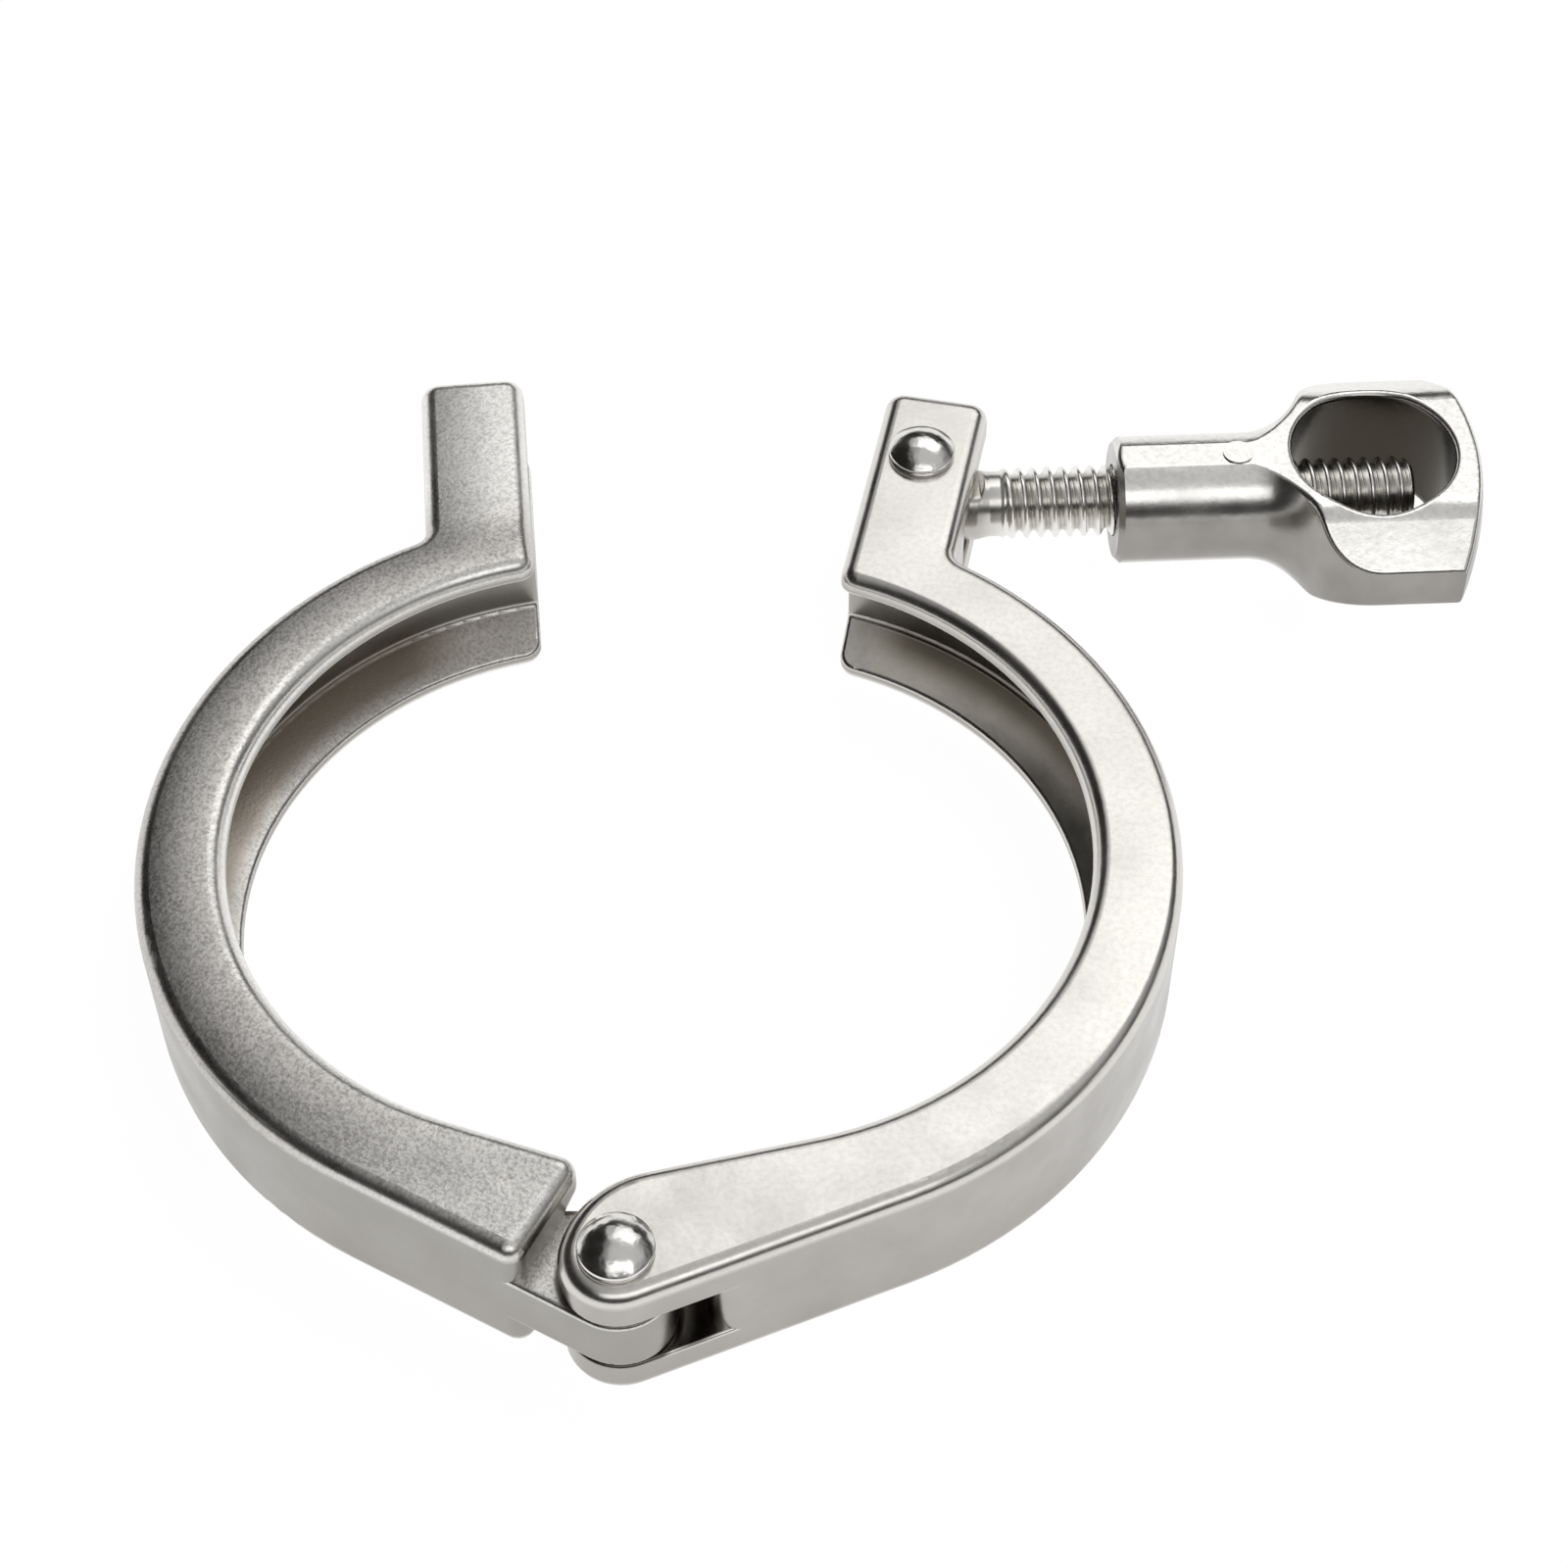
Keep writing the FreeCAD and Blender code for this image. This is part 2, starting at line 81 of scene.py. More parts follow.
def linear(hex_colour):
    """An sRGB hex colour as linear red, green, blue and alpha."""
    channels = np.array([int(hex_colour[i:i + 2], 16) for i in (0, 2, 4)]) / 255
    low = channels / 12.92
    high = ((channels + 0.055) / 1.055) ** 2.4
    return (*np.where(channels <= 0.04045, low, high), 1.0)


# The bolt's place and line, as the CAD has them
BOLT_PIN = at_mm(7.25, 43.9, 0.0)
SWING_DEG = 14.0
# The left half's ring axis is the right half's, turned about the hinge pin
HINGE_PIN = at_mm(0.0, -38.6, 0.0)
OPEN_DEG = 17.0
# The middle of the nut's window, measured along the bolt from its pin
WINDOW_AT = 39.475 * MM
# Half of the castings' thickness
HALF_THICK = 6.5 * MM

# Where a half's finish, its painted shade and its painted highlight change. Radii are from its ring
# axis, heights from mid-thickness, and distances along it from the ring axis towards the lug
PAST_LIP = 28.7 * MM
GROOVE_WALL = from_mm(33.2, 33.3)
GROOVE_MOUTH = from_mm(4.7, 4.9)
HINGE_SIDE = from_mm(0.0, 5.0)
LESS_SHADE_FADE = 5.0 * MM
LESS_SHADE_SHARE = 0.1
LEVEL_FACES = from_mm(4.9, 5.1)
LUG_START = from_mm(28.5, 36.0)
HINGE_END = from_mm(-34.0, -22.0)
HIGHLIGHT_AND_WEAR_RIM = from_mm(29.0, 30.2)
HIGHLIGHT_AND_WEAR_LUG = from_mm(30.0, 40.0)
# Painted highlight and wear at the hinge end, against the lug's, and what hands leave of the grains
HIGHLIGHT_AND_WEAR_HINGE = 0.6
WORN_GRAIN = 0.7
CROWN_FADE = 12.0 * MM
# Middle and half width of the level faces on the ring and on the lug
RING_BAND = from_mm(32.05, 3.55)
LUG_BAND = from_mm(7.5, 4.5)

# Where painted shade lies in the hinge. Radii are from its pin
SEAM_ON_TONGUE = from_mm(2.5, 2.7)
SEAM_ON_EAR = from_mm(3.0, 3.2)
KNUCKLE_EDGE = from_mm(4.5, 4.8)
BETWEEN_EARS = from_mm(2.9, 3.1)
ENDS_START = from_mm(4.6, 5.6)
ENDS_STOP = from_mm(6.2, 7.6)
SEAM_SHARE = 0.9
# Painted shade in the hinge
HINGE_SHADE = "4A423A"

# Where the nut's window has its wall, which takes painted shade, as radii from its middle, and its
# rim, as heights
WINDOW_WALL = from_mm(7.25, 7.35)
WINDOW_RIM = from_mm(4.7, 5.1)

# Slow waves that a wax pattern leaves in a casting's skin
WAVE_SIZE = 6.0 * MM
WAVE_HEIGHT = 0.05 * MM
# Heights of a face's normal between which the grain comes up to its full strength, what it has of that
# on other faces, and the heights over which a side's painted shade gives way to the top's colour
LEVEL_SLOPE = (0.8, 0.98)
STEEP_GRAIN = 0.5
SIDE_FADE = 0.3
# How far painted shade at the foot of a side, and random patches on it, bring it near the hollow's
# shade colour
FOOT_SHARE = 0.3
PATCH_SHARE = 0.15
# A noise runs from 0 to 1, and nearly all of it lies in the first of these stretches. The others are
# where its grains, its patches and the thread's painted root shade come in
NOISE_SPAN = (0.3, 0.7)
GRAIN_SPAN = (0.42, 0.66)
PATCH_SPAN = (0.35, 0.65)
ROOT_SHADE_SPAN = (0.25, 0.7)

# Dents that upsetting leaves under a rivet head's polish
DENT_SIZE = 1.3 * MM
DENT_HEIGHT = 0.08 * MM
POLISH_ROUGHNESS = (0.13, 0.24)

# The thread's roots, which take painted shade, as radii from the bolt's axis, and where the thread
# starts and the neck's painted shadow ends, from the pin
THREAD_ROOT = from_mm(2.42, 2.7)
THREAD_START = from_mm(7.0, 7.4)
NECK_SHADOW = from_mm(5.0, 7.6)
NECK_SHARE = 0.75
# Painted shade lies in patches about as wide as a thread, and fills the roots more or less
SHADE_PATCH = 1.1 * MM
ROOT_SHADE_SHARE = (0.4, 0.9)
THREAD_ROUGHNESS = (0.2, 0.32)
# The thread's section, as shares of half a pitch: flat crest, then flank
CREST_FLAT = 0.16
FLANK = 0.72
# Slope at which the thread comes out of the neck
RUN_OUT = 0.6
# Where the shank starts inside the eye, measured from its hole
SHANK_PAST_HOLE = 0.6 * MM
EYE_CORNER = 0.5 * MM

# The photograph's camera, found from the outlines of both halves, and its sensor in millimetres
CAMERA_AT = at_mm(37.7, -154.6, 210.0)
CAMERA_LOOK = (-0.1326, 0.6132, -0.7787)
CAMERA_ROLL = -0.010
SENSOR_WIDTH = 36
# The softboxes: place, aim, width and height, in metres
KEY_BOX = ((0.135, 0.52, 0.62), (0.135, 0.0, 0.0), 0.65, 0.5)
FILL_BOX = ((-0.285, 0.52, 0.62), (-0.285, 0.0, 0.0), 0.19, 0.5)
FRONT_BOX = ((0.15, -0.35, 0.5), (0.05, 0.0, 0.0), 0.6, 0.25)
# The room's wall is dark, and lightens where a direction nears this one
TOWARDS_LIGHT = (0.35, 0.0, 0.94)
LIGHTENS = (0.6, 0.92)
DARK_WALL = "242220"
LIGHT_WALL = "C8C8C8"
# Height of a direction up to which the backdrop is seen
BACKDROP_TOP = (0.16, 0.2)
# The table reaches this far each way, in metres. The camera and the metal see mostly its glow, and
# the rest of what they see takes the object's shadow
TABLE_REACH = 1.5
TABLE_MATT = "F2F2F2"
TABLE_GLOW = 1.11
TABLE_GLOW_SHARE = 0.86
WHITE = (1.0, 1.0, 1.0, 1.0)

# Numbers of the Mix node's inputs for colours, whose names other inputs share
FACTOR, FIRST, SECOND = 0, 6, 7
# Setting of a Map Range node that starts and stops gently
EASED = {"interpolation_type": "SMOOTHSTEP"}


class BoltSizes(bpy.types.PropertyGroup):
    """Sizes of the swing bolt."""

    crest_radius: bpy.props.FloatProperty(
        name="Crest radius", description="Outside radius of the thread",
        default=3.1 * MM, min=1.0 * MM, precision=5, unit="LENGTH")
    depth: bpy.props.FloatProperty(
        name="Thread depth", description="From crest to root",
        default=0.68 * MM, min=0.1 * MM, precision=5, unit="LENGTH")
    pitch: bpy.props.FloatProperty(
        name="Pitch", description="Distance between two crests",
        default=1.27 * MM, min=0.3 * MM, precision=5, unit="LENGTH")
    neck_radius: bpy.props.FloatProperty(
        name="Neck radius", description="Radius of the smooth neck behind the eye",
        default=2.85 * MM, min=1.0 * MM, precision=5, unit="LENGTH")
    neck_start: bpy.props.FloatProperty(
        name="Neck start", description="Where the neck becomes round, measured from the pin",
        default=5.2 * MM, min=1.0 * MM, precision=5, unit="LENGTH")
    neck_end: bpy.props.FloatProperty(
        name="Neck end", description="Where the thread starts, measured from the pin",
        default=7.0 * MM, min=1.0 * MM, precision=5, unit="LENGTH")
    length: bpy.props.FloatProperty(
        name="Length", description="From the pin to the tip",
        default=43.3 * MM, min=10.0 * MM, precision=5, unit="LENGTH")
    chamfer: bpy.props.FloatProperty(
        name="Tip chamfer", description="Length of the chamfer on the tip",
        default=0.7 * MM, min=0.1 * MM, precision=5, unit="LENGTH")
    eye_radius: bpy.props.FloatProperty(
        name="Eye radius", description="Outside radius of the eye on the pin",
        default=4.1 * MM, min=2.0 * MM, precision=5, unit="LENGTH")
    eye_thickness: bpy.props.FloatProperty(
        name="Eye thickness", description="Between the eye's two flat faces",
        default=5.0 * MM, min=1.0 * MM, precision=5, unit="LENGTH")
    eye_flare: bpy.props.FloatProperty(
        name="Eye flare", description="Where the eye's flare meets the neck, measured from the pin",
        default=6.0 * MM, min=1.0 * MM, precision=5, unit="LENGTH")
    hole_radius: bpy.props.FloatProperty(
        name="Eye hole radius", description="Radius of the hole for the rivet",
        default=1.68 * MM, min=0.5 * MM, precision=5, unit="LENGTH")


def colour_setting(name, description, hex_colour):
    """A colour property whose default is an sRGB hex colour."""
    return bpy.props.FloatVectorProperty(
        name=name, description=description, default=linear(hex_colour), size=4, min=0.0, max=1.0,
        subtype="COLOR")


class FinishColours(bpy.types.PropertyGroup):
    """Colours of the steel finishes, and of the painted shade and highlight laid on them."""

    bright_cast: colour_setting("Bright casting", "The tumbled half", "DDDAD5")
    nut_cast: colour_setting("Nut", "The nut, polished after tumbling", "EFEDE9")
    bright_grain: colour_setting(
        "Bright casting, grain", "Its dark grains, and the nut's", "B9B6B1")
    grey_cast: colour_setting("Grey casting", "The blasted half", "CFCCC8")
    # Painted highlight on the blasted half's lug and inner rim
    grey_highlight: colour_setting(
        "Grey casting, worn", "Its lug and inner rim, rubbed brighter by hands", "F4F2EE")
    grey_grain: colour_setting("Grey casting, grain", "Its dark grains", "74716E")
    # Painted shade on the upright faces of each casting
    bright_side_shade: colour_setting(
        "Bright casting, sides", "The duller skin of its upright faces", "B7B4B0")
    grey_side_shade: colour_setting("Grey casting, sides", "The duller skin of its upright faces", "A5A39E")
    nut_side_shade: colour_setting("Nut, sides", "The duller skin of its upright faces", "A9A6A2")
    # Painted shade in each half's groove
    bright_groove_shade: colour_setting(
        "Bright casting, groove", "Unpolished steel at the groove's root", "88837A")
    grey_groove_shade: colour_setting(
        "Grey casting, groove", "Unpolished steel at the groove's root", "968F86")
    # Painted shade on the wall of the nut's window
    window: colour_setting("Window wall", "Unpolished steel inside the nut's window", "423D36")
    polish: colour_setting("Polished steel", "The rivet heads", "E6E4E0")
    thread: colour_setting("Rolled thread", "The bolt", "F0EEEA")
    # Painted shade in the thread's roots and painted shadow on the neck
    thread_shade: colour_setting("Thread stain", "Oil left in the thread and on the neck", "A8A49C")


class StudioSettings(bpy.types.PropertyGroup):
    """Light levels and the camera."""

    key_level: bpy.props.FloatProperty(
        name="Key light", description="Power of the large light behind the clamp",
        default=1.21, min=0.0, precision=3, unit="POWER")
    fill_level: bpy.props.FloatProperty(
        name="Fill light", description="Power of the dimmer light beside it, over the left half",
        default=0.145, min=0.0, precision=3, unit="POWER")
    front_level: bpy.props.FloatProperty(
        name="Front light", description="Power of the light above the camera",
        default=0.5, min=0.0, precision=3, unit="POWER")
    sky_level: bpy.props.FloatProperty(
        name="Room light", description="Strength of the room's own light", default=1.0, min=0.0)
    lens: bpy.props.FloatProperty(
        name="Lens", description="Focal length of the camera", default=75.4, min=10.0,
        subtype="DISTANCE_CAMERA")


def add_node(tree, kind, *inputs, named=None, **settings):
    """Adds a node with its settings, and fills its inputs in their order or by name.

    An input takes a plain value, a socket, or a node, which gives its first output in use.
    """
    node = tree.nodes.new("ShaderNode" + kind)
    for name, value in settings.items():
        setattr(node, name, value)
    for place, value in (*enumerate(inputs), *(named or {}).items()):
        if isinstance(value, bpy.types.Node):
            value = next(output for output in value.outputs if output.enabled)
        if isinstance(value, bpy.types.NodeSocket):
            tree.links.new(value, node.inputs[place])
        else:
            node.inputs[place].default_value = value
    return node


def new_material(name):
    """An empty node material and its tree."""
    material = bpy.data.materials.new(name)
    material.use_nodes = True
    material.node_tree.nodes.clear()
    return material, material.node_tree


def finish_steel(tree, colour, roughness, **more):
    """Joins colour, roughness and what else is given to a metal surface and the output."""
    inputs = {"Base Color": colour, "Metallic": 1.0, "Roughness": roughness, **more}
    add_node(tree, "OutputMaterial", add_node(tree, "BsdfPrincipled", named=inputs))


class CastSkin(NamedTuple):
    """The skin of one casting: its colours, the painted shade on its sides and hollow, its grain and
    its roughness.
    """

    top: tuple           # faces that lie level
    grain: tuple         # dark grains on them
    side: tuple          # painted shade on upright faces
    hollow_shade: tuple        # painted shade in the groove or window
    side_slope: float    # height of the normal up to which a face counts as upright
    grain_size: float
    grain_share: float   # how far the grains change the colour
    grain_height: float
    smooth: float        # least and most roughness
    rough: float


class HalfWearAndPaintedLight(NamedTuple):
    """Where a half gets its crown, its wear, and its painted shade and highlight."""

    axis: Vector         # its ring axis
    turned_deg: float    # how far it is turned about that axis
    wear_and_highlight: tuple          # painted highlight colour for its lug and inner rim
    shade_from: float     # radius from which the painted shade in its groove is at its darkest
    less_shade_to: float      # distance from its middle line up to which the groove's painted shade is lighter
    crown: float         # rise of its level faces over their edges
    crown_end: float     # distance along it from which the ring's crown fades
    end_shade: float          # share of painted shade on its end in the hinge


class Measures(NamedTuple):
    """Where a point of the surface lies, seen from an upright axis on its piece."""

    radius: bpy.types.Node          # from the axis
    height: bpy.types.Node          # above or below mid-thickness
    aside: bpy.types.Node           # from the middle line
    along: bpy.types.NodeSocket     # towards the lug
    up: bpy.types.NodeSocket        # above mid-thickness


def measure(tree, coords, axis, turned_deg=0.0):
    """Measures a surface from an axis that is turned about itself."""
    node = partial(add_node, tree)
    centred = node("VectorMath", coords, Vector(axis), operation="SUBTRACT")
    turn = (0.0, 0.0, -math.radians(turned_deg))
    turned = node("Mapping", named={"Vector": centred, "Rotation": turn})
    parts = node("SeparateXYZ", turned).outputs
    flat = node("CombineXYZ", parts["X"], parts["Y"])
    return Measures(
        radius=node("VectorMath", flat, operation="LENGTH"),
        height=node("Math", parts["Z"], operation="ABSOLUTE"),
        aside=node("Math", parts["X"], operation="ABSOLUTE"),
        along=parts["Y"],
        up=parts["Z"])


# Each mask below is a chain of Map Range nodes. A node takes a measure, the stretch of it over
# which the mask changes, and the mask on each side of that stretch. One of these two is the chain
# so far, so that the node multiplies it by a fade.


def groove_shade_mask(tree, at, half):
    """Painted shade in the V-groove: 1 there, less towards its lips and its end by the lug, 0 outside
    it.
    """
    node = partial(add_node, tree)
    less_shade = node("MapRange", at.aside, half.less_shade_to, half.less_shade_to + LESS_SHADE_FADE, LESS_SHADE_SHARE, 1.0)
    shaded = node("MapRange", at.along, *HINGE_SIDE, 1.0, less_shade)
    past_lip = node("MapRange", at.radius, PAST_LIP, half.shade_from, 0.0, shaded)
    inside_wall = node("MapRange", at.radius, *GROOVE_WALL, past_lip, 0.0)
    return node("MapRange", at.height, *GROOVE_MOUTH, inside_wall, 0.0)


def window_shade_mask(tree, at):
    """Painted shade: 1 on the wall of the nut's window and 0 outside it."""
    on_wall = add_node(tree, "MapRange", at.radius, *WINDOW_WALL, 1.0, 0.0)
    return add_node(tree, "MapRange", at.height, *WINDOW_RIM, on_wall, 0.0)


def crown_across(tree, distance, middle, half_width):
    """1 in the middle of a band and 0 at its edges: 1 less the squared share of its half width."""
    node = partial(add_node, tree)
    off_middle = node("Math", distance, middle, operation="SUBTRACT")
    off_middle = node("Math", off_middle, operation="ABSOLUTE")
    share = node("MapRange", off_middle, 0.0, half_width)
    square = node("Math", share, share, operation="MULTIPLY")
    return node("Math", 1.0, square, operation="SUBTRACT")


def half_crown(tree, at, half):
    """Height of a half's level faces over their edges, as a share of the crown's rise.

    Finishing rounds them so. It follows the ring, then the lug, and fades out towards the wide
    hinge end. On the ring it also fades out where the half's own crown ends.
    """
    node = partial(add_node, tree)
    ring = crown_across(tree, at.radius, *RING_BAND)
    lug = crown_across(tree, at.aside, *LUG_BAND)
    ring = node("MapRange", at.along, half.crown_end, half.crown_end + CROWN_FADE, ring, 0.0, **EASED)
    top = node("MapRange", at.along, *LUG_START, ring, lug, **EASED)
    past_hinge = node("MapRange", at.along, *HINGE_END, 0.0, top, **EASED)
    return node("MapRange", at.height, *LEVEL_FACES, 0.0, past_hinge)


def wear_and_highlight_mask(tree, at):
    """Painted highlight and wear: 1 on a half's lug and inner rim, less towards its hinge, and 0
    elsewhere.
    """
    node = partial(add_node, tree)
    hinge = node("MapRange", at.along, *HINGE_END, HIGHLIGHT_AND_WEAR_HINGE, 0.0, **EASED)
    ends = node("MapRange", at.along, *HIGHLIGHT_AND_WEAR_LUG, hinge, 1.0, **EASED)
    level = node("MapRange", at.height, *LEVEL_FACES)
    rim = node("MapRange", at.radius, *HIGHLIGHT_AND_WEAR_RIM, level, 0.0)
    return node("Math", rim, ends, operation="MAXIMUM")


def hinge_shade_mask(tree, coords, end_shade):
    """Painted shade in the seams where the hinge's leaves meet, and a share on an end between the
    ears.
    """
    node = partial(add_node, tree)
    at = measure(tree, coords, HINGE_PIN)
    ear = node("MapRange", at.height, *SEAM_ON_EAR, SEAM_SHARE, 0.0)
    seam = node("MapRange", at.height, *SEAM_ON_TONGUE, 0.0, ear)
    seam = node("MapRange", at.radius, *KNUCKLE_EDGE, seam, 0.0)
    if not end_shade:
        return seam
    between = node("MapRange", at.height, *BETWEEN_EARS, end_shade, 0.0)
    end = node("MapRange", at.radius, *ENDS_START, 0.0, between)
    end = node("MapRange", at.radius, *ENDS_STOP, end, 0.0)
    return node("Math", seam, end, operation="MAXIMUM")


def cast_steel(name, skin, half=None, window=None):
    """Investment-cast stainless steel, with the grain of its skin on the faces that lie level.

    A half's finish also follows its ring, lug and hinge, and the nut's follows its window. The
    colours, painted shade and highlight among them, are laid over each other, each where its mask is.
    """
    material, tree = new_material(name)
    node = partial(add_node, tree)
    sources = node("TexCoord").outputs
    coords = sources["Object"]
    slope = node("SeparateXYZ", sources["Normal"]).outputs["Z"]
    grain = node("TexNoise", named={
        "Vector": coords, "Scale": 1 / skin.grain_size, "Detail": 3.0, "Roughness": 0.65})
    cloud = node("TexNoise", named={
        "Vector": coords, "Scale": 1 / WAVE_SIZE, "Detail": 3.0, "Roughness": 0.55})

    level = node("MapRange", slope, *LEVEL_SLOPE, STEEP_GRAIN, 1.0)
    speckle = node("MapRange", grain, *GRAIN_SPAN, 0.0, skin.grain_share)
    speckle = node("Math", speckle, level, operation="MULTIPLY")
    waves = {"Height": cloud, "Strength": 1.0, "Distance": WAVE_HEIGHT}
    layers = []
    if half:
        at = measure(tree, coords, half.axis, half.turned_deg)
        in_hollow = groove_shade_mask(tree, at, half)
        # Painted highlight on the lug and inner rim, where wear also thins the grains
        wear_and_highlight = wear_and_highlight_mask(tree, at)
        layers.append((wear_and_highlight, half.wear_and_highlight))
        kept = node("MapRange", wear_and_highlight, 0.0, 1.0, 1.0, WORN_GRAIN)
        speckle = node("Math", speckle, kept, operation="MULTIPLY")
        crown = half_crown(tree, at, half)
        waves["Normal"] = node("Bump", named={
            "Height": crown, "Strength": 1.0, "Distance": half.crown})
    else:
        at = measure(tree, coords, window)
        in_hollow = window_shade_mask(tree, at)

    # Painted shade on the sides, darkest at their foot, with random darker patches
    foot_shade = node("MapRange", at.up, -HALF_THICK, HALF_THICK, FOOT_SHARE, 0.0)
    patches = node("MapRange", cloud, *PATCH_SPAN, 0.0, PATCH_SHARE)
    darker = node("Math", foot_shade, patches, operation="ADD")
    shaded = {FACTOR: darker, FIRST: skin.side, SECOND: skin.hollow_shade}
    side = node("Mix", named=shaded, data_type="RGBA")
    steep = node("Math", slope, operation="ABSOLUTE")
    upright = node("MapRange", steep, skin.side_slope - SIDE_FADE, skin.side_slope, 1.0, 0.0)

    # Grains, then painted shade on upright faces and in the groove or window
    layers += [(speckle, skin.grain), (upright, side), (in_hollow, skin.hollow_shade)]
    # Painted shade in the hinge's seams and between its ears
    if half:
        layers.append((hinge_shade_mask(tree, coords, half.end_shade), linear(HINGE_SHADE)))
    colour = skin.top
    for mask, over in layers:
        laid = {FACTOR: mask, FIRST: colour, SECOND: over}
        colour = node("Mix", named=laid, data_type="RGBA")

    roughness = node("MapRange", cloud, *NOISE_SPAN, skin.smooth, skin.rough)
    steep_height = STEEP_GRAIN * skin.grain_height
    height = node("MapRange", slope, *LEVEL_SLOPE, steep_height, skin.grain_height)
    bump = node("Bump", named={
        "Height": grain, "Strength": 1.0, "Distance": height, "Normal": node("Bump", named=waves)})
    finish_steel(tree, colour, roughness, Normal=bump)
    return material


def polished_steel(name, colour):
    """Upset and polished stainless steel: a near mirror over shallow dents."""
    material, tree = new_material(name)
    node = partial(add_node, tree)
    coords = node("TexCoord").outputs["Object"]
    dents = node("TexNoise", named={"Vector": coords, "Scale": 1 / DENT_SIZE})
    roughness = node("MapRange", dents, *NOISE_SPAN, *POLISH_ROUGHNESS)
    bump = node("Bump", named={"Height": dents, "Strength": 1.0, "Distance": DENT_HEIGHT})
    finish_steel(tree, colour, roughness, Normal=bump)
    return material


def rolled_steel(name, colour, bolt_shade):
    """Rolled stainless thread: bright crests, roots darkened by painted shade found by distance from
    the axis, and painted shadow on the neck.
    """
    material, tree = new_material(name)
    node = partial(add_node, tree)
    coords = node("TexCoord").outputs["Object"]
    swing = math.radians(SWING_DEG)
    axis = (math.cos(swing), math.sin(swing), 0.0)
    from_pin = node("VectorMath", coords, Vector(BOLT_PIN), operation="SUBTRACT")
    off_axis = node("VectorMath", from_pin, axis, operation="CROSS_PRODUCT")
    radius = node("VectorMath", off_axis, operation="LENGTH")
    along = node("VectorMath", from_pin, axis, operation="DOT_PRODUCT")
    patches = node("TexNoise", named={"Vector": coords, "Scale": 1 / SHADE_PATCH, "Detail": 3.0})
    patchy_shade = node("MapRange", patches, *ROOT_SHADE_SPAN, *ROOT_SHADE_SHARE)
    threaded = node("MapRange", along, *THREAD_START, 0.0, patchy_shade)
    roots = node("MapRange", radius, *THREAD_ROOT, threaded, 0.0)
    neck = node("MapRange", along, *NECK_SHADOW, NECK_SHARE, 0.0)
    dark = node("Math", roots, neck, operation="MAXIMUM")
    mixed = node("Mix", named={FACTOR: dark, FIRST: colour, SECOND: bolt_shade}, data_type="RGBA")
    finish_steel(tree, mixed, node("MapRange", patches, *NOISE_SPAN, *THREAD_ROUGHNESS))
    return material


def dress(node, material):
    """Gives a CAD node its finish."""
    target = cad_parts[node]
    for slot in target.material_slots:
        slot.material = material


def surface_mesh(name, points, closed_rows=False):
    """A mesh from a grid of points: rows run along the piece, columns once round it.

    Columns always close on themselves. The ends are capped by fans to their middles, or the last
    row joins the first where closed_rows is set. The faces point outwards where the columns run
    clockwise, seen along the rows.
    """
    rows, columns = points.shape[:2]
    index = np.arange(rows * columns).reshape(rows, columns)
    ahead = np.roll(index, -1, axis=1)
    if closed_rows:
        after, after_ahead = np.roll(index, -1, axis=0), np.roll(ahead, -1, axis=0)
        quads = np.stack((index, ahead, after_ahead, after), axis=-1).reshape(-1, 4)
        vertices = points.reshape(-1, 3)
        faces = quads.tolist()
    else:
        quads = np.stack((index[:-1], ahead[:-1], ahead[1:], index[1:]), axis=-1).reshape(-1, 4)
        first, last = rows * columns, rows * columns + 1
        start_fan = np.stack((ahead[0], index[0], np.full(columns, first)), axis=-1)
        end_fan = np.stack((index[-1], ahead[-1], np.full(columns, last)), axis=-1)
        vertices = np.vstack((points.reshape(-1, 3), points[0].mean(axis=0), points[-1].mean(axis=0)))
        faces = quads.tolist() + start_fan.tolist() + end_fan.tolist()
    mesh = bpy.data.meshes.new(name)
    mesh.from_pydata(vertices.tolist(), [], faces)
    mesh.validate()
    mesh.polygons.foreach_set("use_smooth", np.ones(len(mesh.polygons), bool))
    piece = bpy.data.objects.new(name, mesh)
    bpy.context.scene.collection.objects.link(piece)
    return piece


def along_bolt(along, across, up):
    """Places in the CAD's frame of points given along the bolt, across it and upwards."""
    angle = math.radians(SWING_DEG)
    x = BOLT_PIN[0] + along * math.cos(angle) - across * math.sin(angle)
    y = BOLT_PIN[1] + along * math.sin(angle) + across * math.cos(angle)
    return np.stack((x, y, BOLT_PIN[2] + up), axis=-1)


